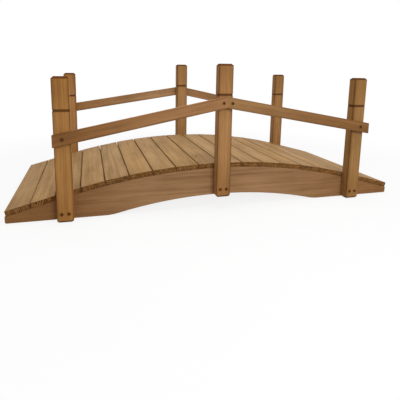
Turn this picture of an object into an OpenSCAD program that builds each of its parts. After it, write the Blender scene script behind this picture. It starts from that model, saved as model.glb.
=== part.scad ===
// Timber garden bridge with an arched deck: two sawn stringers, planks laid along
// their curve, six posts screwed to the outer faces and one sloping rail in each bay.
// Millimetres. X runs along the bridge, -Y is its front side and Z = 0 is the ground.

/* [Stringers] */
// Length of each stringer on the ground
stringer_len = 1498; // [1300:1:1700]
// Thickness of each stringer
stringer_t = 28; // [20:1:45]
// Height of the top edge at mid-span
crown_h = 151; // [130:1:190]
// Height of the top edge at the ends
nose_h = 24; // [18:1:40]
// Length of the straight ramp at each end of the top edge
ramp_len = 200; // [100:1:300]
// Length of the flat foot at each end of the lower edge
foot_len = 348; // [250:1:450]
// Height of the arch at mid-span
arch_h = 49; // [20:1:70]
// Radius that eases the corner between a foot and the arch
spring_r = 200; // [50:5:400]
// Radius on the lower corner of each end
nose_r = 6; // [2:0.5:12]

/* [Deck] */
// Length of each plank across the bridge, which is also the width over both stringers
plank_len = 620; // [450:1:900]
// Number of planks
plank_count = 18; // [12:1:22]
// Thickness of each plank
plank_t = 18; // [12:0.5:30]
// Gap between two planks at the stringers
plank_gap = 2.5; // [1:0.5:8]
// Distance from a stringer's end to the first plank
deck_setback = 4; // [0:0.5:20]
// Radius on the long edges of each plank
plank_r = 2.5; // [1:0.5:5]

/* [Posts] */
// Width of each post along the bridge
post_w = 54; // [40:1:80]
// Thickness of each post across the bridge
post_t = 36; // [28:1:60]
// Length of each post
post_len = 485; // [440:1:600]
// Distance of an end post's centre line from the end of its stringer
post_inset = 194; // [130:1:260]
// How far the middle posts reach below the arch
post_drop = 2; // [0:0.5:10]
// Radius on the upright edges of each post
post_r = 4; // [2:0.5:8]
// Chamfer around the top and the bottom of each post
post_chamfer = 7; // [2:0.5:10]
// Distance of the groove from the top of each post
groove_drop = 108; // [60:1:112]
// Radius of the round-nosed cutter that makes the groove
groove_r = 3; // [2:0.5:5]
// Depth of the groove
groove_depth = 2; // [1:0.25:3]

/* [Rails] */
// Depth of each rail
rail_w = 40; // [30:1:60]
// Thickness of each rail
rail_t = 18; // [12:0.5:30]
// Radius on the long edges of each rail
rail_r = 2; // [1:0.5:4]
// Distance that a rail runs past its end post
rail_overhang = 7; // [0:0.5:30]
// Offset of the joint between two rails from the middle of the post
rail_joint_x = 3.5; // [-10:0.5:10]
// Height of the rails' centre lines at mid-span
rail_mid_h = 398; // [380:1:410]
// Height of the front left rail on its end post
front_left_rail_h = 286; // [240:1:330]
// Height of the front right rail on its end post
front_right_rail_h = 297; // [240:1:330]
// Height of the back left rail on its end post
back_left_rail_h = 314; // [240:1:330]
// Height of the back right rail on its end post
back_right_rail_h = 279; // [240:1:330]

/* [Screw seats] */
// Diameter of the counterbore for a screw head
seat_d = 9; // [6:0.5:12]
// Depth of the counterbore
seat_depth = 3; // [1:0.5:6]
// Distance between the two screws of a post
post_screw_gap = 23; // [16:1:32]
// Height of the screws above the bottom of a post
post_screw_h = 30; // [20:1:50]
// Distance of a rail's inner screw from the joint
rail_screw_back = 16; // [10:1:22]

/* [Hidden] */
$fn = 48;
big_fn = 1440;
eps = 1;
sides = ["front", "back"];
bays = ["left", "right"];
stations = ["left", "middle", "right"];
stringer_colour = [0.56, 0.41, 0.28];
plank_colour = [0.67, 0.54, 0.38];
post_colour = [0.62, 0.43, 0.25];
rail_colour = [0.60, 0.44, 0.29];

// Top edge: an arc over the middle that runs tangent into a straight ramp at each end.
stringer_half = stringer_len / 2;
bend_x = stringer_half - ramp_len;
function rise_at(angle) = bend_x * tan(angle / 2) + ramp_len * tan(angle);
function ramp_angle_between(low, high, steps) =
    let (middle = (low + high) / 2)
    steps == 0 ? middle
    : rise_at(middle) < crown_h - nose_h ? ramp_angle_between(middle, high, steps - 1)
    : ramp_angle_between(low, middle, steps - 1);
ramp_angle = ramp_angle_between(0, 60, 40);
deck_r = bend_x / sin(ramp_angle);
bend_z = nose_h + ramp_len * tan(ramp_angle);
// Where two curves run into each other, one is a hair lower, so that they cross cleanly.
bend_relief = 0.1;
arc_reach = bend_x + ramp_len / 3;
arc_run = deck_r * ramp_angle * PI / 180;
edge_run = arc_run + ramp_len / cos(ramp_angle);

// Tilt and place of the top edge at a distance run from mid-span, measured along the edge.
function edge_tilt(run) = max(-ramp_angle, min(ramp_angle, run / deck_r * 180 / PI));
function edge_x(run) =
    abs(run) <= arc_run ? deck_r * sin(edge_tilt(run))
    : sign(run) * (bend_x + (abs(run) - arc_run) * cos(ramp_angle));
function edge_z(run) =
    abs(run) <= arc_run ? crown_h - deck_r * (1 - cos(edge_tilt(run)))
    : bend_z - (abs(run) - arc_run) * sin(ramp_angle);

// Lower edge: flat feet with a circular arch between them.
arch_half = stringer_half - foot_len;
arch_r = (pow(arch_half, 2) + pow(arch_h, 2)) / (2 * arch_h);
spring_x = sqrt(arch_h * (2 * (arch_r + spring_r) - arch_h));
spring_inner_x = spring_x * arch_r / (arch_r + spring_r);

// Planks: equal widths, cut to a tenth of a millimetre, that share the length of the top edge.
deck_run = 2 * (edge_run - deck_setback);
plank_pitch = (deck_run + plank_gap) / plank_count;
plank_w = floor(10 * (plank_pitch - plank_gap)) / 10;
function plank_run(i) = (i - (plank_count - 1) / 2) * plank_pitch;

// Centre lines of the end posts, from mid-span.
post_x = stringer_half - post_inset;
// Distance of the groove cutter's axis from the middle of a post of the given size.
function groove_axis(size) = size / 2 + groove_r - groove_depth;

// Faces across the bridge, on the back side.
stringer_face_y = plank_len / 2;
post_face_y = stringer_face_y + post_t;

// Rails: all of one length, in pairs that meet on the middle posts.
rail_run = post_x + post_w / 2 + rail_overhang;
rail_end_h = [[front_left_rail_h, front_right_rail_h], [back_left_rail_h, back_right_rail_h]];
function rail_drop(side, bay) = rail_mid_h - rail_end_h[side][bay];
function rail_z(side, bay, x) = rail_mid_h - rail_drop(side, bay) * abs(x) / post_x;

function outward(side) = side == 0 ? -1 : 1;
function along(bay) = bay == 0 ? -1 : 1;
function two_digits(number) = str(number < 10 ? "0" : "", number);
function stringer_name(side) = str(sides[side], "_stringer");
function post_name(side, station) = str(sides[side], "_", stations[station], "_post");
function rail_name(side, bay) = str(sides[side], "_", bays[bay], "_rail");
function plank_name(i) = str("deck_plank_", two_digits(i + 1));

// Rectangle about the origin with its corners rounded.
module rounded_rectangle(size, radius) {
    square([size.x - 2 * radius, size.y], center = true);
    square([size.x, size.y - 2 * radius], center = true);
    for (u = [-1, 1], v = [-1, 1])
        translate([u * (size.x / 2 - radius), v * (size.y / 2 - radius)])
            circle(radius);
}

// Rectangle about the origin with its corners cut at 45 degrees.
module chamfered_rectangle(size, chamfer) {
    x = size.x / 2;
    y = size.y / 2;
    polygon([
        [x - chamfer, -y], [x, chamfer - y], [x, y - chamfer], [x - chamfer, y],
        [chamfer - x, y], [-x, y - chamfer], [-x, chamfer - y], [chamfer - x, -y]
    ]);
}

// Counterbore for a screw head, sunk from a face towards +Y.
module screw_seat() {
    translate([0, -eps, 0])
        rotate([-90, 0, 0])
            cylinder(d = seat_d, h = seat_depth + eps);
}

// Side view of a stringer.
module stringer_outline() {
    difference() {
        union() {
            intersection() {
                translate([-arc_reach, nose_h]) square([2 * arc_reach, crown_h]);
                translate([0, crown_h - deck_r]) circle(deck_r, $fn = big_fn);
            }
            polygon([
                [-stringer_half, 0], [stringer_half, 0], [stringer_half, nose_h],
                [bend_x, bend_z - bend_relief], [-bend_x, bend_z - bend_relief],
                [-stringer_half, nose_h]
            ]);
        }
        translate([0, arch_h - arch_r]) circle(arch_r, $fn = big_fn);
        for (end = [-1, 1]) {
            difference() {
                translate([end * (spring_x + spring_inner_x) / 2, 0])
                    square([spring_x - spring_inner_x, spring_r / 5], center = true);
                translate([end * spring_x, spring_r - bend_relief])
                    circle(spring_r, $fn = big_fn);
            }
            difference() {
                translate([end * stringer_half, 0]) square(2 * nose_r, center = true);
                translate([end * (stringer_half - nose_r), nose_r]) circle(nose_r);
            }
        }
    }
}

module stringer(side) {
    inner_y = stringer_face_y - stringer_t;
    color(stringer_colour)
        translate([0, side == 0 ? -inner_y : stringer_face_y, 0])
            rotate([90, 0, 0])
                linear_extrude(stringer_t) stringer_outline();
}

module deck_plank(i) {
    run = plank_run(i);
    color(plank_colour)
        translate([edge_x(run), stringer_face_y, edge_z(run)])
            rotate([0, edge_tilt(run), 0])
                translate([0, 0, plank_t / 2])
                    rotate([90, 0, 0])
                        linear_extrude(plank_len)
                            rounded_rectangle([plank_w, plank_t], plank_r);
}

// Post standing on the origin, with its outer face towards -Y.
module post_bar() {
    difference() {
        intersection() {
            linear_extrude(post_len) rounded_rectangle([post_w, post_t], post_r);
            translate([0, post_t / 2 + eps, post_len / 2])
                rotate([90, 0, 0])
                    linear_extrude(post_t + 2 * eps)
                        chamfered_rectangle([post_w, post_len], post_chamfer);
            translate([-post_w / 2 - eps, 0, post_len / 2])
                rotate([90, 0, 90])
                    linear_extrude(post_w + 2 * eps)
                        chamfered_rectangle([post_t, post_len], post_chamfer);
        }
        translate([0, 0, post_len - groove_drop]) {
            for (u = [-1, 1])
                translate([u * groove_axis(post_w), 0, 0])
                    rotate([90, 0, 0])
                        cylinder(r = groove_r, h = post_t + 2 * eps, center = true);
            for (v = [-1, 1])
                translate([0, v * groove_axis(post_t), 0])
                    rotate([0, 90, 0])
                        cylinder(r = groove_r, h = post_w + 2 * eps, center = true);
        }
        for (u = [-1, 1])
            translate([u * post_screw_gap / 2, -post_t / 2, post_screw_h]) screw_seat();
    }
}

module post(side, station) {
    foot_z = station == 1 ? arch_h - post_drop : 0;
    color(post_colour)
        translate([(station - 1) * post_x, outward(side) * (stringer_face_y + post_t / 2), foot_z])
            rotate([0, 0, side == 0 ? 0 : 180])
                post_bar();
}

// Sloping bar cut plumb at both ends, screwed through its outer face.
module rail(side, bay) {
    slope = atan2(rail_drop(side, bay), post_x);
    screw_x = [rail_joint_x + along(bay) * rail_screw_back, along(bay) * post_x];
    color(rail_colour)
        translate([0, outward(side) * (post_face_y + rail_t / 2), 0])
            difference() {
                intersection() {
                    translate([0, 0, rail_mid_h])
                        rotate([0, along(bay) * slope, 0])
                            rotate([0, 90, 0])
                                linear_extrude(3 * rail_run, center = true)
                                    rounded_rectangle([rail_w, rail_t], rail_r);
                    translate([rail_joint_x + along(bay) * rail_run / 2, 0, rail_mid_h])
                        cube([rail_run, 2 * rail_t, 2 * rail_mid_h], center = true);
                }
                for (x = screw_x)
                    translate([x, outward(side) * rail_t / 2, rail_z(side, bay, x)])
                        rotate([0, 0, side == 0 ? 0 : 180])
                            screw_seat();
            }
}

for (side = [0, 1])
    stringer(side);
for (side = [0, 1], station = [0, 1, 2])
    post(side, station);
for (side = [0, 1], bay = [0, 1])
    rail(side, bay);
for (i = [0 : plank_count - 1])
    deck_plank(i);
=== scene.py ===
"""Dresses the solids of an arched timber footbridge and stands it on a plain studio stage."""

import math
import random
from typing import NamedTuple

import bmesh
import bpy
from bpy.props import FloatProperty, FloatVectorProperty, IntProperty, PointerProperty
from mathutils import Matrix, Vector


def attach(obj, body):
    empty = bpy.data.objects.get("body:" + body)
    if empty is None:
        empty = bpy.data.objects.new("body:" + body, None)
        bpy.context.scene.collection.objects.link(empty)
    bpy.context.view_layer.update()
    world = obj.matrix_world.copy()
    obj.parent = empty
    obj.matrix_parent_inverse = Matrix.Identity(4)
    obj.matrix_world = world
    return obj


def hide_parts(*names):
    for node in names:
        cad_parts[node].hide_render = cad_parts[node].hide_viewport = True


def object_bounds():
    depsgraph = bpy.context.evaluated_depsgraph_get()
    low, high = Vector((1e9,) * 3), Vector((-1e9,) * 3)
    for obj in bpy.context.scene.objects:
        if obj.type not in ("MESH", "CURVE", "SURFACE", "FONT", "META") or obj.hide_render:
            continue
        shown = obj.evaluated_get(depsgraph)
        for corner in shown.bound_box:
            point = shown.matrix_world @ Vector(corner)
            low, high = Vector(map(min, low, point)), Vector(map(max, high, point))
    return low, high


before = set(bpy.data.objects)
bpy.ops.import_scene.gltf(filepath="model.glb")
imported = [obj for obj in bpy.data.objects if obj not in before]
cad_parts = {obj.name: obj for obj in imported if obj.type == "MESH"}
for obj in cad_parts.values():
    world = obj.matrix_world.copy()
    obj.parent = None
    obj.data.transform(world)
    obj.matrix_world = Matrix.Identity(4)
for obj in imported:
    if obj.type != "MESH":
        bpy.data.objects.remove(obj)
CAD_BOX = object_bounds()

bl_info = {
    "name": "Arched garden footbridge",
    "version": (1, 0, 0),
    "blender": (4, 5, 0),
    "location": "3D View > Sidebar > Footbridge",
    "description": "Dresses the solids of an arched timber footbridge and sets its studio stage",
    "category": "Object",
}

BODY = "root"
BOARDS = sorted(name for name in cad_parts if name.startswith("deck_plank"))
STRINGERS = sorted(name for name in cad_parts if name.endswith("_stringer"))
POSTS = sorted(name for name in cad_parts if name.endswith("_post"))
RAILS = sorted(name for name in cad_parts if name.endswith("_rail"))

X_AXIS = Vector((1, 0, 0))
Y_AXIS = Vector((0, 1, 0))
Z_AXIS = Vector((0, 0, 1))
# A place far from the bridge, for a timber that has no groove or no screws.
NOWHERE = Vector((9, 9, 9))


# Timbers

# Least share of its normal that runs up in a face that looks up.
LOOKS_UP = 0.5


class Timber(NamedTuple):
    """How one piece of timber lies: its middle, its three directions and its half sizes."""

    middle: Vector
    along: Vector
    across: Vector
    through: Vector
    half: Vector

    def turn(self):
        """Rotation from the timber's own axes, X along its grain, to the bridge's axes."""
        return Matrix((self.along, self.across, self.through)).transposed()

    def place(self):
        """Transform from the timber's own axes to the bridge's axes."""
        return Matrix.Translation(self.middle) @ self.turn().to_4x4()


def measure(node, along, across):
    """Measures a CAD node along the given directions."""
    through = along.cross(across)
    corners = [vertex.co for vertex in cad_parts[node].data.vertices]
    lows, highs = [], []
    for axis in (along, across, through):
        reaches = [corner.dot(axis) for corner in corners]
        lows.append(min(reaches))
        highs.append(max(reaches))
    low, high = Vector(lows), Vector(highs)
    turn = Matrix((along, across, through)).transposed()
    return Timber(turn @ ((low + high) / 2), along, across, through, (high - low) / 2)


def upper_face_normal(node):
    """Normal of the largest face that looks up, which gives the slope of a board or a rail."""
    faces = [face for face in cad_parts[node].data.polygons if face.normal.z > LOOKS_UP]
    return max(faces, key=lambda face: face.area).normal.copy()


def board_timber(node):
    """A deck board's grain runs across the bridge, and its face follows the deck's slope."""
    face = upper_face_normal(node)
    return measure(node, Y_AXIS, face.cross(Y_AXIS))


def rail_timber(node):
    """A rail's grain runs down its slope, towards the end of the bridge."""
    face = upper_face_normal(node)
    down = Y_AXIS.cross(face)
    return measure(node, -down if down.z > 0 else down, face)


def post_timber(node):
    """A post's grain runs up."""
    return measure(node, Z_AXIS, X_AXIS)


def stringer_timber(node):
    """A stringer is sawn from a straight board, so its grain runs level."""
    return measure(node, -X_AXIS, Z_AXIS)


class Cut(NamedTuple):
    """How one kind of timber was sawn, how it took the stain, and how much more stain and painted
    shade darken its edges and ends.

    Pith, ring spacing, waviness and groove are in metres, and the others are shares.
    """

    pith: tuple  # nearest and furthest the pith lies from the timber's middle
    ring_spacing: tuple  # finest and coarsest growth rings
    waviness: float  # how far the rings wander along the log
    knot_share: float  # how many of the cells in the log hold a knot
    spread: float  # how much the colour differs from timber to timber
    rings: float  # how dark the latewood shows
    figure: float  # how strongly fibres, streaks and blotches show
    stain_and_shade_on_arris: float  # extra stain and painted shade on the eased edges
    stain_and_shade_by_edge: float  # extra stain and painted shade in a band beside the edges
    stain_and_shade_at_ends: float  # extra stain and painted shade towards the ends
    one_end: float = 0.0  # 0 where both ends are darker that way, 1 where only the far end is
    groove: float = NOWHERE.x  # where the groove lies along the timber


BOARD_CUT = Cut(
    pith=(0.05, 0.13),
    ring_spacing=(0.0040, 0.0075),
    waviness=0.022,
    knot_share=0.35,
    spread=0.06,
    rings=0.34,
    figure=1.5,
    stain_and_shade_on_arris=0.30,
    stain_and_shade_by_edge=0.32,
    stain_and_shade_at_ends=0.10,
)
STRINGER_CUT = Cut(
    pith=(0.10, 0.16),
    ring_spacing=(0.0030, 0.0040),
    waviness=0.004,
    knot_share=0.04,
    spread=0.02,
    rings=0.22,
    figure=1.55,
    stain_and_shade_on_arris=0.6,
    stain_and_shade_by_edge=0.0,
    stain_and_shade_at_ends=1.0,
    one_end=0.15,
)
POST_CUT = Cut(
    pith=(0.05, 0.10),
    ring_spacing=(0.0040, 0.0060),
    waviness=0.012,
    knot_share=0.03,
    spread=0.03,
    rings=0.24,
    figure=1.6,
    stain_and_shade_on_arris=0.9,
    stain_and_shade_by_edge=0.65,
    stain_and_shade_at_ends=0.5,
)
RAIL_CUT = Cut(
    pith=(0.06, 0.12),
    ring_spacing=(0.0035, 0.0050),
    waviness=0.012,
    knot_share=0.05,
    spread=0.03,
    rings=0.28,
    figure=1.7,
    stain_and_shade_on_arris=0.8,
    stain_and_shade_by_edge=0.40,
    stain_and_shade_at_ends=0.75,
    one_end=1.0,
)

# Timbers whose colour is scaled a little away from the others of their kind.
TINTS = {
    "front_left_post": (1.00, 0.98, 0.88),
    "front_middle_post": (0.95, 0.96, 1.06),
    "front_right_post": (0.90, 0.94, 0.97),
    "back_middle_post": (0.90, 0.97, 1.12),
    "back_right_post": (0.98, 1.02, 1.12),
    "front_right_rail": (0.85, 0.87, 0.82),
    "back_left_rail": (1.05, 1.20, 1.38),
    "back_right_rail": (0.86, 0.92, 0.96),
    "front_stringer": (0.95, 0.955, 0.95),
}


# Settings


class FootbridgeTimbers(bpy.types.PropertyGroup):
    """Shapes of the timber pieces."""

    board_arris: FloatProperty(
        name="Board arris",
        description="Radius on the long edges of a deck board",
        default=0.0021,
        unit="LENGTH",
    )
    board_end_arris: FloatProperty(
        name="Board end arris",
        description="Radius on the sawn ends of a deck board",
        default=0.0009,
        unit="LENGTH",
    )
    board_cup: FloatProperty(
        name="Board cup",
        description="How far the long edges of a deck board have lifted in drying, at most",
        default=0.0007,
        unit="LENGTH",
    )
    board_skew: FloatProperty(
        name="Board skew",
        description="How far a deck board lies off square, at most",
        default=math.radians(0.12),
        subtype="ANGLE",
    )
    board_stations: IntProperty(
        name="Board stations",
        description="Lengths that a deck board is cut into, so that it can bend",
        default=12,
        min=2,
    )
    stringer_arris: FloatProperty(
        name="Stringer arris",
        description="Radius on the sawn edges of a stringer",
        default=0.0018,
        unit="LENGTH",
    )
    groove_drop: FloatProperty(
        name="Groove drop",
        description="Distance of the dark groove below the top of a post",
        default=0.108,
        unit="LENGTH",
    )
    seat_span: FloatProperty(
        name="Seat span",
        description="Faces of a screw seat lie no further apart than this",
        default=0.012,
        unit="LENGTH",
    )
    screw_radius: FloatProperty(
        name="Screw radius",
        description="Radius of a screw head",
        default=0.0042,
        unit="LENGTH",
    )
    screw_height: FloatProperty(
        name="Screw height",
        description="Height of a screw head above the floor of its seat",
        default=0.0014,
        unit="LENGTH",
    )
    seed: IntProperty(
        name="Seed",
        description="Chooses where in the log each piece was cut",
        default=11,
    )


class FootbridgeFinish(bpy.types.PropertyGroup):
    """Colours of the timber and the screws."""

    deck_colour: FloatVectorProperty(
        name="Deck",
        description="Stain on the deck boards",
        default=(0.440, 0.261, 0.106),
        subtype="COLOR",
        min=0,
        max=1,
    )
    post_colour: FloatVectorProperty(
        name="Posts",
        description="Stain on the posts",
        default=(0.480, 0.240, 0.079),
        subtype="COLOR",
        min=0,
        max=1,
    )
    stringer_colour: FloatVectorProperty(
        name="Stringers",
        description="Stain on the stringers",
        default=(0.435, 0.235, 0.108),
        subtype="COLOR",
        min=0,
        max=1,
    )
    rail_colour: FloatVectorProperty(
        name="Rails",
        description="Stain on the rails",
        default=(0.430, 0.215, 0.085),
        subtype="COLOR",
        min=0,
        max=1,
    )
    screw_colour: FloatVectorProperty(
        name="Screws",
        description="Browned steel of the screw heads",
        default=(0.105, 0.036, 0.008),
        subtype="COLOR",
        min=0,
        max=1,
    )


class FootbridgeStage(bpy.types.PropertyGroup):
    """Camera, light and floor."""

    camera_place: FloatVectorProperty(
        name="Camera place",
        description="Where the camera stands",
        default=(-0.4664, -1.6076, 0.5160),
        subtype="TRANSLATION",
        unit="LENGTH",
    )
    camera_heading: FloatProperty(
        name="Camera heading",
        description="Turn of the view from straight across the bridge towards its right end",
        default=math.radians(14.85),
        subtype="ANGLE",
    )
    camera_dip: FloatProperty(
        name="Camera dip",
        description="How far the view looks down",
        default=math.radians(9.70),
        subtype="ANGLE",
    )
    camera_roll: FloatProperty(
        name="Camera roll",
        description="Turn of the view about its own line",
        default=math.radians(0.72),
        subtype="ANGLE",
    )
    lens: FloatProperty(
        name="Lens",
        description="Focal length on a sensor 36 mm wide",
        default=34.11,
        unit="CAMERA",
    )
    lens_shift: FloatVectorProperty(
        name="Lens shift",
        description="Shift of the frame to the right and up, as shares of its width",
        default=(0.0266, -0.1684),
        size=2,
    )
    sky_strength: FloatProperty(
        name="Sky strength",
        description="Strength of the even light from all round",
        default=0.34,
    )
    overhead_energy: FloatProperty(
        name="Overhead energy",
        description="Power of the softbox above the deck",
        default=36.5,
        unit="POWER",
    )
    overhead_size: FloatProperty(
        name="Overhead size",
        description="Side of the softbox above the deck",
        default=2.6,
        unit="LENGTH",
    )
    overhead_place: FloatVectorProperty(
        name="Overhead place",
        description="Where the softbox above the deck hangs",
        default=(0.0, -0.2, 2.6),
        subtype="TRANSLATION",
        unit="LENGTH",
    )
    key_energy: FloatProperty(
        name="Key energy",
        description="Power of the soft lamp at the right front",
        default=24.5,
        unit="POWER",
    )
    key_size: FloatProperty(
        name="Key size",
        description="Side of the soft lamp at the right front",
        default=1.1,
        unit="LENGTH",
    )
    key_place: FloatVectorProperty(
        name="Key place",
        description="Where the soft lamp at the right front stands",
        default=(0.55, -2.6, 1.25),
        subtype="TRANSLATION",
        unit="LENGTH",
    )
    floor_span: FloatProperty(
        name="Floor span",
        description="Side of the floor",
        default=40.0,
        unit="LENGTH",
    )
    shadow_depth: FloatProperty(
        name="Shadow depth",
        description="Share of the floor's own shading that the camera sees",
        default=0.16,
        min=0,
        max=1,
    )


# Shader nodes

NOISE_ROUGHNESS = 0.55
# The Mix node has a set of sockets for each kind of value, so its colours go by number.
MIX_FACTOR, MIX_FIRST, MIX_SECOND, MIX_RESULT = 0, 6, 7, 2


def set_inputs(tree, node, inputs):
    """Sets or links a node's inputs by name or number."""
    for key, value in inputs.items():
        socket = node.inputs[key]
        if isinstance(value, bpy.types.NodeSocket):
            tree.links.new(value, socket)
        else:
            socket.default_value = value


def add_node(tree, kind, inputs=None, **settings):
    """Adds a shader node with its settings and its inputs."""
    node = tree.nodes.new(kind)
    for name, value in settings.items():
        setattr(node, name, value)
    set_inputs(tree, node, inputs or {})
    return node


def arithmetic(tree, operation, *values, clamp=False):
    """Adds a Math node and returns its result."""
    inputs = dict(enumerate(values))
    node = add_node(tree, "ShaderNodeMath", inputs, operation=operation, use_clamp=clamp)
    return node.outputs[0]


def vector_arithmetic(tree, operation, *vectors):
    """Adds a Vector Math node and returns its vector, or the length that it measures."""
    inputs = dict(enumerate(vectors))
    node = add_node(tree, "ShaderNodeVectorMath", inputs, operation=operation)
    return node.outputs["Value" if operation in ("LENGTH", "DISTANCE") else "Vector"]


def split(tree, vector):
    """The three parts of a vector."""
    return add_node(tree, "ShaderNodeSeparateXYZ", {0: vector}).outputs


def ease(tree, value, start, end):
    """Runs from 0 at start to 1 at end with soft ends."""
    inputs = {"Value": value, "From Min": start, "From Max": end}
    node = add_node(tree, "ShaderNodeMapRange", inputs, interpolation_type="SMOOTHSTEP")
    return node.outputs["Result"]


def mix_colour(tree, factor, first, second):
    """Mixes two colours and returns the result."""
    inputs = {MIX_FACTOR: factor, MIX_FIRST: first, MIX_SECOND: second}
    return add_node(tree, "ShaderNodeMix", inputs, data_type="RGBA").outputs[MIX_RESULT]


def noise_value(tree, place, scale, detail):
    """Noise from 0 to 1 at a place that is stretched by the three scales."""
    stretched = vector_arithmetic(tree, "MULTIPLY", place, scale)
    inputs = {
        "Vector": stretched,
        "Scale": 1.0,
        "Detail": detail,
        "Roughness": NOISE_ROUGHNESS,
    }
    return add_node(tree, "ShaderNodeTexNoise", inputs).outputs["Fac"]


def start_group(name, inputs, outputs):
    """Starts a shader node group and returns its tree, its input node and its output node."""
    tree = bpy.data.node_groups.new(name, "ShaderNodeTree")
    for socket, kind in inputs.items():
        tree.interface.new_socket(socket, in_out="INPUT", socket_type=kind)
    for socket, kind in outputs.items():
        tree.interface.new_socket(socket, in_out="OUTPUT", socket_type=kind)
    return tree, tree.nodes.new("NodeGroupInput"), tree.nodes.new("NodeGroupOutput")


def empty_tree(owner):
    """The emptied node tree of a material or a world."""
    owner.use_nodes = True
    owner.node_tree.nodes.clear()
    return owner.node_tree


# Grain

# Noises in a log: their scales along the grain and twice across it, and their detail.
WANDER_NOISE = ((1.9, 10, 10), 2)
FIBRE_NOISE = ((13, 430, 430), 2)
STREAK_NOISE = ((2.6, 75, 75), 3)
BLOTCH_NOISE = ((5, 17, 17), 3)
NOISE_MIDDLE = 0.5

# Cells to a metre along the grain and twice across it, and distances in shares of a cell.
KNOT_CELLS = (8, 16, 16)
KNOT_RIM = (0.10, 0.05)
SWIRL_RIM = (0.40, 0.05)
SWIRL_PUSH = 0.006

# Shares of a year, and how dark the faintest of the rings is.
LATEWOOD_RISE = (0.25, 0.80)
LATEWOOD_FALL = (1.0, 0.88)
FAINTEST_RING = 0.4


def grain_group():
    """Growth rings, fibres, streaks, blotches and knots of a softwood log."""
    name = "Softwood grain"
    if name in bpy.data.node_groups:
        return bpy.data.node_groups[name]
    value = "NodeSocketFloat"
    tree, given, result = start_group(
        name,
        {
            "Local": "NodeSocketVector",
            "Log": "NodeSocketVector",
            "Ring spacing": value,
            "Waviness": value,
            "Knot share": value,
        },
        {"Latewood": value, "Fibre": value, "Streak": value, "Blotch": value, "Knot": value},
    )
    place = vector_arithmetic(tree, "ADD", given.outputs["Local"], given.outputs["Log"])

    # A few of the cells along the log hold a knot, and the rings bend round it.
    cells = vector_arithmetic(tree, "MULTIPLY", place, KNOT_CELLS)
    knot_cell = add_node(tree, "ShaderNodeTexVoronoi", {"Vector": cells, "Scale": 1.0})
    chance = add_node(tree, "ShaderNodeSeparateColor", {0: knot_cell.outputs["Color"]})
    chosen = arithmetic(tree, "LESS_THAN", chance.outputs[0], given.outputs["Knot share"])
    distance = knot_cell.outputs["Distance"]
    knot = arithmetic(tree, "MULTIPLY", ease(tree, distance, *KNOT_RIM), chosen)
    swirl = arithmetic(tree, "MULTIPLY", ease(tree, distance, *SWIRL_RIM), chosen)

    # Rings are nearly round about the pith and wander along the log.
    wander = noise_value(tree, place, *WANDER_NOISE)
    wander = arithmetic(tree, "SUBTRACT", wander, NOISE_MIDDLE)
    parts = split(tree, place)
    flat = add_node(tree, "ShaderNodeCombineXYZ", {1: parts[1], 2: parts[2]}).outputs[0]
    radius = vector_arithmetic(tree, "LENGTH", flat)
    bent = arithmetic(tree, "MULTIPLY_ADD", wander, given.outputs["Waviness"], radius)
    pushed = arithmetic(tree, "MULTIPLY_ADD", swirl, SWIRL_PUSH, bent)
    rings = arithmetic(tree, "DIVIDE", pushed, given.outputs["Ring spacing"])
    year = arithmetic(tree, "FLOOR", rings)
    season = arithmetic(tree, "FRACT", rings)
    rise = ease(tree, season, *LATEWOOD_RISE)
    fall = ease(tree, season, *LATEWOOD_FALL)
    late = arithmetic(tree, "MULTIPLY", rise, fall)
    strength = add_node(tree, "ShaderNodeTexWhiteNoise", {"W": year}, noise_dimensions="1D")
    depth = arithmetic(
        tree, "MULTIPLY_ADD", strength.outputs["Value"], 1 - FAINTEST_RING, FAINTEST_RING
    )
    set_inputs(
        tree,
        result,
        {
            "Latewood": arithmetic(tree, "MULTIPLY", late, depth),
            "Fibre": noise_value(tree, place, *FIBRE_NOISE),
            "Streak": noise_value(tree, place, *STREAK_NOISE),
            "Blotch": noise_value(tree, place, *BLOTCH_NOISE),
            "Knot": knot,
        },
    )
    return tree


# Faces

# Shares of a normal: the part of it along the grain, and the largest of its three parts.
END_TURN = (0.35, 0.85)
ARRIS_TURN = (0.965, 0.80)
# Distances from the nearest edge, from the groove and from the middle of a screw.
EDGE_BAND = (0.011, 0.0)
GROOVE_BAND = (0.0070, 0.0022)
SCREW_RING = (0.0105, 0.0050)
# Shares of the way from the middle of a timber to its end, over which more stain and painted shade
# darken it.
STAIN_AND_SHADE_REACH = (0.25, 0.90)


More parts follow.
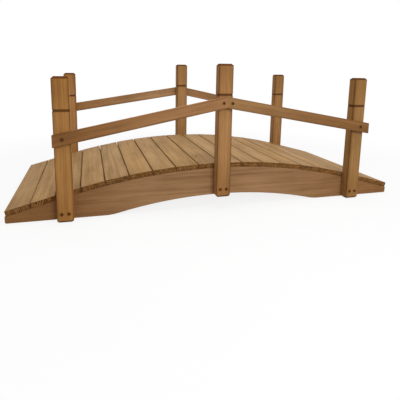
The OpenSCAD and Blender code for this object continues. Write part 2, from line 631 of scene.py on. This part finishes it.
def faces_group():
    """Tells the ends, edges, groove, darker reaches towards the ends and screw seats of a timber
    apart.
    """
    name = "Timber faces"
    if name in bpy.data.node_groups:
        return bpy.data.node_groups[name]
    value = "NodeSocketFloat"
    vector = "NodeSocketVector"
    tree, given, result = start_group(
        name,
        {
            "Normal": vector,
            "Local": vector,
            "Half size": vector,
            "Groove": value,
            "One end": value,
            "First screw": vector,
            "Second screw": vector,
        },
        {
            "End": value,
            "Arris": value,
            "Edge": value,
            "Groove": value,
            "Reach": value,
            "Screw": value,
        },
    )
    local = given.outputs["Local"]
    half_size = given.outputs["Half size"]
    turned = split(tree, vector_arithmetic(tree, "ABSOLUTE", given.outputs["Normal"]))
    widest = arithmetic(tree, "MAXIMUM", turned[0], turned[1])
    widest = arithmetic(tree, "MAXIMUM", widest, turned[2])

    # On any face one inset is nought, so the second smallest is the way to the nearest edge.
    away = vector_arithmetic(tree, "ABSOLUTE", local)
    insets = split(tree, vector_arithmetic(tree, "SUBTRACT", half_size, away))
    nearer = arithmetic(tree, "MINIMUM", insets[0], insets[1])
    further = arithmetic(tree, "MAXIMUM", insets[0], insets[1])
    to_edge = arithmetic(tree, "MINIMUM", further, insets[2])
    to_edge = arithmetic(tree, "MAXIMUM", nearer, to_edge)

    run = split(tree, local)[0]
    off_groove = arithmetic(tree, "SUBTRACT", run, given.outputs["Groove"])
    off_groove = arithmetic(tree, "ABSOLUTE", off_groove)

    # The share runs from -1 at the near end of the timber to 1 at its far end.
    share = arithmetic(tree, "DIVIDE", run, split(tree, half_size)[0])
    inputs = {
        "Factor": given.outputs["One end"],
        "A": arithmetic(tree, "ABSOLUTE", share),
        "B": arithmetic(tree, "MULTIPLY_ADD", share, 0.5, 0.5),
    }
    reach = add_node(tree, "ShaderNodeMix", inputs, data_type="FLOAT").outputs["Result"]

    to_first = vector_arithmetic(tree, "DISTANCE", local, given.outputs["First screw"])
    to_second = vector_arithmetic(tree, "DISTANCE", local, given.outputs["Second screw"])
    to_screw = arithmetic(tree, "MINIMUM", to_first, to_second)
    set_inputs(
        tree,
        result,
        {
            "End": ease(tree, turned[0], *END_TURN),
            "Arris": ease(tree, widest, *ARRIS_TURN),
            "Edge": ease(tree, to_edge, *EDGE_BAND),
            "Groove": ease(tree, off_groove, *GROOVE_BAND),
            "Reach": ease(tree, reach, *STAIN_AND_SHADE_REACH),
            "Screw": ease(tree, to_screw, *SCREW_RING),
        },
    )
    return tree


# Stain

# Shades of the stain, as shares of a timber's own colour.
PALE_FACE = (1.24, 1.25, 1.28)
DARK_FACE = (0.60, 0.54, 0.46)
PALE_END = (1.00, 0.80, 0.59)
DARK_END = (0.24, 0.15, 0.07)
KNOT_SHADE = (0.30, 0.22, 0.15)

# What is left of a colour where it is darker: more stain and painted shade towards the ends, at
# the edges and arrises and in the groove, and a darker ring round each screw.
END_STAIN_AND_SHADE = (0.72, 0.62, 0.46)
EDGE_STAIN_AND_SHADE = (0.55, 0.48, 0.38)
ARRIS_STAIN_AND_SHADE = (0.45, 0.38, 0.28)
GROOVE_STAIN_AND_SHADE = (0.45, 0.38, 0.29)
DARKER_ROUND_SCREWS = (0.62, 0.50, 0.34)

# A plain value, and the shares of the noises that are added to it.
FIGURE = (-0.05, {"Blotch": 0.75, "Streak": 0.60, "Fibre": 0.45})
SPECKLE = (0.0, {"Streak": 1.6, "Fibre": 1.9})
PATCHINESS = (0.8, {"Streak": 1.6})
ROUGHNESS = (0.62, {"Fibre": 0.15, "Streak": 0.20})
HEIGHT = (0.5, {"Streak": 0.5, "Fibre": 0.8})

FACE_TONE = 0.37
RINGS_IN_END = 0.75
END_TONES = (-0.25, 0.80)
END_ROUGHNESS = 0.18
ARRIS_ROUGHNESS = 0.25
RING_HEIGHT = 0.35


def stain_group():
    """Brown stain on softwood, darker in the latewood, with more stain and painted shade towards
    the ends, at the edges and arrises and in the groove, and darker round the screws.
    """
    name = "Stained softwood"
    if name in bpy.data.node_groups:
        return bpy.data.node_groups[name]
    value = "NodeSocketFloat"
    grain = ("Latewood", "Fibre", "Streak", "Blotch", "Knot")
    faces = ("End", "Arris", "Edge", "Groove", "Reach", "Screw")
    shares = ("Rings", "Figure", "Stain and shade on arris", "Stain and shade by edge", "Stain and shade at ends")
    tree, given, result = start_group(
        name,
        {"Colour": "NodeSocketColor", **dict.fromkeys((*grain, *faces, *shares), value)},
        {"Colour": "NodeSocketColor", "Roughness": value, "Height": value},
    )
    mask = given.outputs

    def shade(tint):
        """The stain made lighter or darker."""
        return vector_arithmetic(tree, "MULTIPLY", mask["Colour"], tint)

    def darkened(factor, base, remaining):
        """A colour made darker by the given share."""
        darker = vector_arithmetic(tree, "MULTIPLY", base, remaining)
        return mix_colour(tree, factor, base, darker)

    def times(first, second, clamp=False):
        """The product of two values."""
        return arithmetic(tree, "MULTIPLY", first, second, clamp=clamp)

    def plus(source, weight, onto):
        """A value with a share of another added to it."""
        return arithmetic(tree, "MULTIPLY_ADD", source, weight, onto)

    def with_noise(plain, weights):
        """A plain value with shares of some noises, each counted from its middle."""
        total = plain
        for noise, weight in weights.items():
            centred = arithmetic(tree, "SUBTRACT", mask[noise], NOISE_MIDDLE)
            total = plus(centred, weight, total)
        return total

    rings = times(mask["Latewood"], mask["Rings"])
    figure = plus(with_noise(*FIGURE), mask["Figure"], rings)
    tone = arithmetic(tree, "ADD", figure, FACE_TONE, clamp=True)
    face = mix_colour(tree, tone, shade(PALE_FACE), shade(DARK_FACE))
    # More stain and painted shade towards the ends.
    face = darkened(times(mask["Reach"], mask["Stain and shade at ends"]), face, END_STAIN_AND_SHADE)

    speckle = plus(mask["Latewood"], RINGS_IN_END, with_noise(*SPECKLE))
    pale = ease(tree, speckle, *END_TONES)
    end = mix_colour(tree, pale, shade(DARK_END), shade(PALE_END))

    wood = mix_colour(tree, mask["End"], face, end)
    wood = mix_colour(tree, mask["Knot"], wood, shade(KNOT_SHADE))
    # More stain and painted shade at the edges, on the arrises and in the groove.
    patchy = times(mask["Edge"], with_noise(*PATCHINESS), clamp=True)
    wood = darkened(times(patchy, mask["Stain and shade by edge"]), wood, EDGE_STAIN_AND_SHADE)
    wood = darkened(times(mask["Arris"], mask["Stain and shade on arris"]), wood, ARRIS_STAIN_AND_SHADE)
    wood = darkened(mask["Groove"], wood, GROOVE_STAIN_AND_SHADE)
    # A darker ring round each screw.
    wood = darkened(mask["Screw"], wood, DARKER_ROUND_SCREWS)

    rough = plus(mask["End"], END_ROUGHNESS, with_noise(*ROUGHNESS))
    rough = plus(mask["Arris"], ARRIS_ROUGHNESS, rough)
    height = plus(mask["Latewood"], RING_HEIGHT, with_noise(*HEIGHT))
    set_inputs(tree, result, {"Colour": wood, "Roughness": rough, "Height": height})
    return tree


# Materials

# Length of log that the timbers are cut from, and how the grain stands out on them.
LOG_LENGTH = 40
BUMP_STRENGTH = 0.35
GRAIN_DEPTH = 0.0008
TIMBER_GLOSS = 0.12

SCUFF_NOISE = ((900, 900, 900), 2)
SCUFF_RIM = (0.5, 0.8)
SCUFF_ROUGHNESS = (-0.4, 1.1)
# How much brighter the bare steel in a scuff is: a factor, and a little added to it.
BARE_FACTOR, BARE_LIFT = 3, 0.02
SCREW_METAL = 0.3
SCREW_GLOSS = 0.2


def start_material(name):
    """Starts a material and returns it with its tree and its Principled shader."""
    material = bpy.data.materials.new(name)
    tree = empty_tree(material)
    shader = add_node(tree, "ShaderNodeBsdfPrincipled")
    add_node(tree, "ShaderNodeOutputMaterial", {"Surface": shader.outputs["BSDF"]})
    return material, tree, shader


def own_colour(node, colour, rng, spread):
    """The stain on one timber, a little lighter or darker and warmer or cooler than the rest."""
    light = rng.uniform(1 - spread, 1 + spread)
    warmth = rng.uniform(-spread, spread) / 2
    tint = TINTS.get(node, (1, 1, 1))
    red, green, blue = (part * share for part, share in zip(colour, tint))
    return (red * light * (1 + warmth), green * light, blue * light * (1 - 2 * warmth), 1)


def timber_material(node, timber, colour, rng, cut, seats=(NOWHERE, NOWHERE)):
    """Stained softwood whose rings run with this timber, cut from its own place in a log."""
    material, tree, shader = start_material(f"Stained {node}")
    turn = timber.turn().to_euler()

    def in_timber(vector, middle):
        """A place or a direction on the timber's own axes."""
        inputs = {"Vector": vector, "Location": middle, "Rotation": turn}
        return add_node(tree, "ShaderNodeMapping", inputs, vector_type="TEXTURE").outputs[0]

    place = add_node(tree, "ShaderNodeTexCoord").outputs["Object"]
    facing = add_node(tree, "ShaderNodeNewGeometry").outputs["Normal"]
    local = in_timber(place, timber.middle)
    pith_way = rng.uniform(0, math.tau)
    pith_distance = rng.uniform(*cut.pith)
    log = (
        rng.uniform(0, LOG_LENGTH),
        pith_distance * math.cos(pith_way),
        pith_distance * math.sin(pith_way),
    )
    stain_colour = own_colour(node, colour, rng, cut.spread)
    grain = add_node(
        tree,
        "ShaderNodeGroup",
        {
            "Local": local,
            "Log": log,
            "Ring spacing": rng.uniform(*cut.ring_spacing),
            "Waviness": cut.waviness,
            "Knot share": cut.knot_share,
        },
        node_tree=grain_group(),
    )
    faces = add_node(
        tree,
        "ShaderNodeGroup",
        {
            "Normal": in_timber(facing, Vector()),
            "Local": local,
            "Half size": timber.half,
            "Groove": cut.groove,
            "One end": cut.one_end,
            "First screw": seats[0],
            "Second screw": seats[1],
        },
        node_tree=faces_group(),
    )
    masks = {socket.name: socket for group in (grain, faces) for socket in group.outputs}
    stain = add_node(
        tree,
        "ShaderNodeGroup",
        {
            **masks,
            "Colour": stain_colour,
            "Rings": cut.rings,
            "Figure": cut.figure,
            "Stain and shade on arris": cut.stain_and_shade_on_arris,
            "Stain and shade by edge": cut.stain_and_shade_by_edge,
            "Stain and shade at ends": cut.stain_and_shade_at_ends,
        },
        node_tree=stain_group(),
    ).outputs
    inputs = {"Strength": BUMP_STRENGTH, "Distance": GRAIN_DEPTH, "Height": stain["Height"]}
    bump = add_node(tree, "ShaderNodeBump", inputs)
    set_inputs(
        tree,
        shader,
        {
            "Base Color": stain["Colour"],
            "Roughness": stain["Roughness"],
            "Normal": bump.outputs["Normal"],
            "Specular IOR Level": TIMBER_GLOSS,
        },
    )
    return material


def screw_material():
    """Browned steel with a little scuffing."""
    material, tree, shader = start_material("Browned screw")
    colour = bpy.context.scene.footbridge_finish.screw_colour
    bare = tuple(min(1.0, part * BARE_FACTOR + BARE_LIFT) for part in colour)
    place = add_node(tree, "ShaderNodeTexCoord").outputs["Object"]
    scuff = noise_value(tree, place, *SCUFF_NOISE)
    scuffed = ease(tree, scuff, *SCUFF_RIM)
    set_inputs(
        tree,
        shader,
        {
            "Base Color": mix_colour(tree, scuffed, (*colour, 1), (*bare, 1)),
            "Roughness": ease(tree, scuff, *SCUFF_ROUGHNESS),
            "Metallic": SCREW_METAL,
            "Specular IOR Level": SCREW_GLOSS,
        },
    )
    return material


# Mesh work

# Edges that shade as sharp, edges of a stringer that are eased, and seams in a flat face.
SHARP_ANGLE = math.radians(32)
SAWN_ANGLE = math.radians(40)
SEAM_ANGLE = math.radians(0.2)
FLAT_FACE_WEIGHT = 80

# What counts as the same place, and as the same direction.
MERGE_DISTANCE = 1e-5
SAME_PLACE = 1e-6
RUNS_ALONG = 0.99
FACES_OUT = 0.999

# Shares of the greatest cup that a board may have, and how much they change along it.
CUP_SHARES = (-0.4, 1)
CUP_LEAN = (-0.6, 0.6)

# Least and greatest depth of a screw seat.
SEAT_DEPTHS = (0.0005, 0.008)
# Half the side of the square in a screw's face, as a share of its radius, and the depth of
# its cross, as a share of its height.
SCREW_SQUARE = 0.6
SCREW_RECESS = 0.8


def add_object(bm, name, material):
    """Turns a bmesh into an object in the scene."""
    mesh = bpy.data.meshes.new(name)
    bm.to_mesh(mesh)
    bm.free()
    mesh.materials.append(material)
    made = bpy.data.objects.new(name, mesh)
    bpy.context.scene.collection.objects.link(made)
    return made


def finish_piece(bm, name, material, node=None):
    """Turns a bmesh into a piece of the bridge that rides on it, and hides the CAD node that it
    stands in for, if one is given.
    """
    for edge in bm.edges:
        edge.smooth = edge.calc_face_angle(math.pi) < SHARP_ANGLE
    piece = add_object(bm, name, material)
    for face in piece.data.polygons:
        face.use_smooth = True
    flat_faces = piece.modifiers.new("Flat faces", "WEIGHTED_NORMAL")
    flat_faces.weight = FLAT_FACE_WEIGHT
    flat_faces.keep_sharp = True
    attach(piece, BODY)
    if node:
        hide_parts(node)


def merged_copy(node):
    """A bmesh of a CAD node with its loose triangles joined."""
    bm = bmesh.new()
    bm.from_mesh(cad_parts[node].data)
    bmesh.ops.remove_doubles(bm, verts=bm.verts, dist=MERGE_DISTANCE)
    return bm


def edges_along_x(bm):
    """Edges that run along X."""
    return [
        edge
        for edge in bm.edges
        if abs((edge.verts[0].co - edge.verts[1].co).normalized().x) > RUNS_ALONG
    ]


def edges_at_ends(bm, reach):
    """Edges that lie round the two ends, at plus and minus reach along X."""
    return [
        edge
        for edge in bm.edges
        if all(abs(abs(vertex.co.x) - reach) < SAME_PLACE for vertex in edge.verts)
    ]


def round_edges(bm, edges, radius, segments):
    """Rounds edges to a radius."""
    bmesh.ops.bevel(
        bm,
        geom=edges,
        offset=radius,
        segments=segments,
        profile=0.5,
        affect="EDGES",
        material=-1,
    )


def cut_through(bm, place, way):
    """Cuts a whole bmesh along a plane, so that it can bend there."""
    geometry = [*bm.verts, *bm.edges, *bm.faces]
    bmesh.ops.bisect_plane(bm, geom=geometry, plane_co=place, plane_no=way)


def make_board(node, rng):
    """A planed deck board with eased edges, a slight cup and a slight skew."""
    settings = bpy.context.scene.footbridge_timbers
    timber = board_timber(node)
    bm = bmesh.new()
    bmesh.ops.create_cube(bm, size=1.0)
    bmesh.ops.scale(bm, vec=timber.half * 2, verts=bm.verts)
    round_edges(bm, edges_along_x(bm), settings.board_arris, segments=4)
    round_edges(bm, edges_at_ends(bm, timber.half.x), settings.board_end_arris, segments=2)
    cut_through(bm, Vector(), Y_AXIS)
    for station in range(1, settings.board_stations):
        run = timber.half.x * (2 * station / settings.board_stations - 1)
        cut_through(bm, Vector((run, 0, 0)), X_AXIS)

    # The board cups away from its pith, a little more at one end than at the other.
    cup = settings.board_cup * rng.uniform(*CUP_SHARES)
    lean = rng.uniform(*CUP_LEAN)
    for vertex in bm.verts:
        share = vertex.co.y / timber.half.y
        vertex.co.z -= cup * (1 - share * share) * (1 + lean * vertex.co.x / timber.half.x)
    skew = rng.uniform(-settings.board_skew, settings.board_skew)
    bmesh.ops.rotate(bm, matrix=Matrix.Rotation(skew, 3, "Z"), verts=bm.verts)
    bmesh.ops.transform(bm, matrix=timber.place(), verts=bm.verts)
    colour = bpy.context.scene.footbridge_finish.deck_colour
    material = timber_material(node, timber, colour, rng, BOARD_CUT)
    finish_piece(bm, f"board_{node[-2:]}", material, node)


def make_stringer(node, rng):
    """A sawn stringer with its edges eased."""
    settings = bpy.context.scene.footbridge_timbers
    timber = stringer_timber(node)
    bm = merged_copy(node)
    bmesh.ops.dissolve_limit(bm, angle_limit=SEAM_ANGLE, verts=bm.verts, edges=bm.edges)
    sawn = [
        edge
        for edge in bm.edges
        if len(edge.link_faces) == 2 and edge.calc_face_angle() > SAWN_ANGLE
    ]
    round_edges(bm, sawn, settings.stringer_arris, segments=3)
    colour = bpy.context.scene.footbridge_finish.stringer_colour
    material = timber_material(node, timber, colour, rng, STRINGER_CUT)
    finish_piece(bm, f"{node}_timber", material, node)


def make_bar(node, timber, colour, rng, cut):
    """A post or a rail, which keeps the shape of its solid."""
    bm = merged_copy(node)
    to_timber = timber.place().inverted()
    seats = [to_timber @ middle for middle in screw_seats(node)[0]]
    material = timber_material(node, timber, colour, rng, cut, seats)
    finish_piece(bm, f"{node}_timber", material, node)


def screw_seats(node):
    """Middles of the floors of a node's screw seats, and the way that they face."""
    span = bpy.context.scene.footbridge_timbers.seat_span
    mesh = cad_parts[node].data
    middle = sum((vertex.co for vertex in mesh.vertices), Vector())
    outward = Y_AXIS if middle.y > 0 else -Y_AXIS
    facing = [face for face in mesh.polygons if face.normal.dot(outward) > FACES_OUT]
    surface = max(face.center.dot(outward) for face in facing)
    least, greatest = SEAT_DEPTHS
    groups = []
    for face in facing:
        if not least < surface - face.center.dot(outward) < greatest:
            continue
        for group in groups:
            if (group[0].center - face.center).length < span:
                group.append(face)
                break
        else:
            groups.append([face])
    middles = []
    for group in groups:
        rim = [mesh.vertices[index].co for face in group for index in face.vertices]
        low = Vector(map(min, *rim))
        high = Vector(map(max, *rim))
        width, height = high.x - low.x, high.z - low.z
        if max(width, height) < span and min(width, height) > span / 2:
            middles.append((low + high) / 2)
    return middles, outward


def screw_head():
    """A bmesh of a cross-head screw's head, face up, with the middle of its face at the origin."""
    settings = bpy.context.scene.footbridge_timbers
    radius, height = settings.screw_radius, settings.screw_height
    head = bmesh.new()
    bmesh.ops.create_grid(head, x_segments=3, y_segments=3, size=radius * SCREW_SQUARE)
    rim = [edge for edge in head.edges if edge.is_boundary]
    cross = [
        face
        for face in head.faces
        if min(map(abs, face.calc_center_median().xy)) < SAME_PLACE
    ]
    for drop in (0.0, height):
        ring = bmesh.ops.extrude_edge_only(head, edges=rim)["geom"]
        rim = [part for part in ring if isinstance(part, bmesh.types.BMEdge)]
        rim = [edge for edge in rim if edge.is_boundary]
        for corner in (part for part in ring if isinstance(part, bmesh.types.BMVert)):
            way = Vector((corner.co.x, corner.co.y, 0)).normalized()
            corner.co = way * radius - Z_AXIS * drop
    bmesh.ops.edgeloop_fill(head, edges=rim)
    recess = bmesh.ops.extrude_face_region(head, geom=cross)["geom"]
    sunk = [part for part in recess if isinstance(part, bmesh.types.BMVert)]
    bmesh.ops.delete(head, geom=cross, context="FACES")
    bmesh.ops.translate(head, vec=-Z_AXIS * height * SCREW_RECESS, verts=sunk)
    bmesh.ops.recalc_face_normals(head, faces=head.faces)
    return head


def make_screws(node, material):
    """Cross-head screws sunk in the seats of one post or rail."""
    height = bpy.context.scene.footbridge_timbers.screw_height
    middles, outward = screw_seats(node)
    upright = Z_AXIS.rotation_difference(outward).to_matrix().to_4x4()
    bm = bmesh.new()
    for middle in middles:
        head = screw_head()
        rise = Matrix.Translation(middle + outward * height)
        bmesh.ops.transform(head, matrix=rise @ upright, verts=head.verts)
        made = bpy.data.meshes.new("screw head")
        head.to_mesh(made)
        head.free()
        bm.from_mesh(made)
        bpy.data.meshes.remove(made)
    finish_piece(bm, f"{node}_screws", material)


# Stage

WHITE = (1, 1, 1, 1)
SENSOR_WIDTH = 36
NEAREST_SEEN = 0.05
FLOOR_DROP = 0.0005
# Distances from the middle of the bridge between which the shadow on the floor fades.
SHADOW_REACH = (1.8, 0.9)

# A painted brown shade lies on the floor under the deck; it keeps clear of the front of the arch,
# where it would show below it.
SHADE_COLOUR = (0.37, 0.25, 0.15, 1)
SHADE_BEHIND_ARCH = (-0.18, -0.10)
SHADE_BESIDE_ARCH = (0.40, 0.46)
SHADE_SIDES = (0.311, 0.27)
SHADE_END_FADE = 0.05


def seen_directly(tree):
    """Mask that is 1 for what the camera sees, also in reflections and through glass."""
    path = add_node(tree, "ShaderNodeLightPath").outputs
    seen = arithmetic(tree, "MAXIMUM", path["Is Camera Ray"], path["Is Glossy Ray"])
    return arithmetic(tree, "MAXIMUM", seen, path["Is Transmission Ray"])


def mix_shaders(tree, factor, first, second):
    """Mixes two shader nodes and returns the Mix Shader node."""
    inputs = {0: factor, 1: first.outputs[0], 2: second.outputs[0]}
    return add_node(tree, "ShaderNodeMixShader", inputs)


def make_sky(strength):
    """Even light from all round, seen as plain white."""
    world = bpy.data.worlds.new("Studio white")
    tree = empty_tree(world)
    light = add_node(tree, "ShaderNodeBackground", {"Color": WHITE, "Strength": strength})
    white = add_node(tree, "ShaderNodeBackground", {"Color": WHITE, "Strength": 1.0})
    sky = mix_shaders(tree, seen_directly(tree), light, white)
    add_node(tree, "ShaderNodeOutputWorld", {"Surface": sky.outputs[0]})
    bpy.context.scene.world = world


def shade_under_deck(tree, place):
    """Mask that is 1 on the floor below the deck, where painted brown shade makes the joints
    between boards look dark.
    """
    run, offset, _ = split(tree, place)
    out_along = arithmetic(tree, "ABSOLUTE", run)
    out_across = arithmetic(tree, "ABSOLUTE", offset)
    behind = ease(tree, offset, *SHADE_BEHIND_ARCH)
    beside = ease(tree, out_along, *SHADE_BESIDE_ARCH)
    end = CAD_BOX[1].x
    under = arithmetic(tree, "MAXIMUM", behind, beside)
    under = arithmetic(tree, "MULTIPLY", under, ease(tree, out_across, *SHADE_SIDES))
    inside = ease(tree, out_along, end, end - SHADE_END_FADE)
    return arithmetic(tree, "MULTIPLY", under, inside)


def floor_material(shadow_depth):
    """White that keeps a light shadow, with painted brown shade under the deck, and lets through
    light from below and off the bridge.
    """
    material = bpy.data.materials.new("White floor")
    tree = empty_tree(material)
    place = add_node(tree, "ShaderNodeTexCoord").outputs["Object"]
    under = shade_under_deck(tree, place)
    # Painted brown shade on the floor under the deck.
    colour = mix_colour(tree, under, WHITE, SHADE_COLOUR)
    matt = add_node(tree, "ShaderNodeBsdfDiffuse", {"Color": colour})
    white = add_node(tree, "ShaderNodeEmission", {"Color": WHITE, "Strength": 1.0})
    near = ease(tree, vector_arithmetic(tree, "LENGTH", place), *SHADOW_REACH)
    shaded = arithmetic(tree, "MULTIPLY", near, shadow_depth)
    shaded = arithmetic(tree, "MAXIMUM", shaded, under)
    plain = arithmetic(tree, "SUBTRACT", 1.0, shaded)
    lift = arithmetic(tree, "MULTIPLY", seen_directly(tree), plain)
    lifted = mix_shaders(tree, lift, matt, white)
    below = add_node(tree, "ShaderNodeNewGeometry").outputs["Backfacing"]
    bounced = add_node(tree, "ShaderNodeLightPath").outputs["Is Diffuse Ray"]
    passing = arithmetic(tree, "MAXIMUM", below, bounced)
    clear = add_node(tree, "ShaderNodeBsdfTransparent")
    sheet = mix_shaders(tree, passing, lifted, clear)
    add_node(tree, "ShaderNodeOutputMaterial", {"Surface": sheet.outputs[0]})
    return material


def make_floor(span, shadow_depth):
    """A wide floor just below the feet of the bridge."""
    bm = bmesh.new()
    bmesh.ops.create_grid(bm, x_segments=1, y_segments=1, size=span / 2)
    bmesh.ops.translate(bm, vec=-Z_AXIS * FLOOR_DROP, verts=bm.verts)
    add_object(bm, "floor", floor_material(shadow_depth))


def make_lamp(name, place, size, energy):
    """A square soft lamp that looks at the middle of the bridge."""
    light = bpy.data.lights.new(name, "AREA")
    light.shape = "SQUARE"
    light.size = size
    light.energy = energy
    lamp = bpy.data.objects.new(name, light)
    lamp.location = place
    middle = (CAD_BOX[0] + CAD_BOX[1]) / 2
    lamp.rotation_euler = (middle - Vector(place)).to_track_quat("-Z", "Y").to_euler()
    bpy.context.scene.collection.objects.link(lamp)


def make_camera(stage):
    """The camera at the viewing angle of the reference."""
    data = bpy.data.cameras.new("camera")
    data.sensor_width = SENSOR_WIDTH
    data.lens = stage.lens
    data.shift_x, data.shift_y = stage.lens_shift
    data.clip_start = NEAREST_SEEN
    camera = bpy.data.objects.new("camera", data)
    level = Matrix.Rotation(math.radians(90) - stage.camera_dip, 4, "X")
    heading = Matrix.Rotation(-stage.camera_heading, 4, "Z")
    roll = Matrix.Rotation(stage.camera_roll, 4, "Z")
    camera.matrix_world = Matrix.Translation(stage.camera_place) @ heading @ level @ roll
    bpy.context.scene.collection.objects.link(camera)
    bpy.context.scene.camera = camera


# Operators


def draws(step):
    """Random draws for one kind of timber, a step of its own away from the seed."""
    return random.Random(bpy.context.scene.footbridge_timbers.seed + step)


class FOOTBRIDGE_OT_deck_boards(bpy.types.Operator):
    """Makes the deck boards"""

    bl_idname = "footbridge.deck_boards"
    bl_label = "Deck boards"

    def execute(self, context):
        rng = draws(step=0)
        for node in BOARDS:
            make_board(node, rng)
        return {"FINISHED"}


class FOOTBRIDGE_OT_stringers(bpy.types.Operator):
    """Makes the two arched stringers"""

    bl_idname = "footbridge.stringers"
    bl_label = "Stringers"

    def execute(self, context):
        rng = draws(step=1)
        for node in STRINGERS:
            make_stringer(node, rng)
        return {"FINISHED"}


class FOOTBRIDGE_OT_posts(bpy.types.Operator):
    """Makes the grooved posts"""

    bl_idname = "footbridge.posts"
    bl_label = "Posts"

    def execute(self, context):
        rng = draws(step=2)
        colour = context.scene.footbridge_finish.post_colour
        drop = context.scene.footbridge_timbers.groove_drop
        for node in POSTS:
            timber = post_timber(node)
            cut = POST_CUT._replace(groove=timber.half.x - drop)
            make_bar(node, timber, colour, rng, cut)
        return {"FINISHED"}


class FOOTBRIDGE_OT_rails(bpy.types.Operator):
    """Makes the sloping rails"""

    bl_idname = "footbridge.rails"
    bl_label = "Rails"

    def execute(self, context):
        rng = draws(step=3)
        colour = context.scene.footbridge_finish.rail_colour
        for node in RAILS:
            make_bar(node, rail_timber(node), colour, rng, RAIL_CUT)
        return {"FINISHED"}


class FOOTBRIDGE_OT_screws(bpy.types.Operator):
    """Makes the screws in the posts and the rails"""

    bl_idname = "footbridge.screws"
    bl_label = "Screws"

    def execute(self, context):
        material = screw_material()
        for node in (*POSTS, *RAILS):
            make_screws(node, material)
        return {"FINISHED"}


class FOOTBRIDGE_OT_stage(bpy.types.Operator):
    """Sets the floor, the light and the camera"""

    bl_idname = "footbridge.stage"
    bl_label = "Stage"

    def execute(self, context):
        stage = context.scene.footbridge_stage
        context.scene.view_settings.view_transform = "Standard"
        make_sky(stage.sky_strength)
        make_floor(stage.floor_span, stage.shadow_depth)
        make_lamp("overhead", stage.overhead_place, stage.overhead_size, stage.overhead_energy)
        make_lamp("key", stage.key_place, stage.key_size, stage.key_energy)
        make_camera(stage)
        return {"FINISHED"}


class FOOTBRIDGE_PT_sidebar(bpy.types.Panel):
    """Lists the steps that dress the bridge, and their settings"""

    bl_idname = "FOOTBRIDGE_PT_sidebar"
    bl_label = "Footbridge"
    bl_space_type = "VIEW_3D"
    bl_region_type = "UI"
    bl_category = "Footbridge"

    def draw(self, context):
        for operator in OPERATORS:
            self.layout.operator(operator.bl_idname)
        for group, settings in SETTINGS.items():
            box = self.layout.box()
            for name in settings.__annotations__:
                box.prop(getattr(context.scene, group), name)


SETTINGS = {
    "footbridge_timbers": FootbridgeTimbers,
    "footbridge_finish": FootbridgeFinish,
    "footbridge_stage": FootbridgeStage,
}
OPERATORS = (
    FOOTBRIDGE_OT_deck_boards,
    FOOTBRIDGE_OT_stringers,
    FOOTBRIDGE_OT_posts,
    FOOTBRIDGE_OT_rails,
    FOOTBRIDGE_OT_screws,
    FOOTBRIDGE_OT_stage,
)


def register():
    for name, settings in SETTINGS.items():
        bpy.utils.register_class(settings)
        setattr(bpy.types.Scene, name, PointerProperty(type=settings))
    for operator in OPERATORS:
        bpy.utils.register_class(operator)
    bpy.utils.register_class(FOOTBRIDGE_PT_sidebar)


def unregister():
    bpy.utils.unregister_class(FOOTBRIDGE_PT_sidebar)
    for operator in reversed(OPERATORS):
        bpy.utils.unregister_class(operator)
    for name, settings in reversed(SETTINGS.items()):
        delattr(bpy.types.Scene, name)
        bpy.utils.unregister_class(settings)


def main():
    register()
    bpy.ops.footbridge.deck_boards()
    bpy.ops.footbridge.stringers()
    bpy.ops.footbridge.posts()
    bpy.ops.footbridge.rails()
    bpy.ops.footbridge.screws()
    bpy.ops.footbridge.stage()


if __name__ == "__main__":
    main()
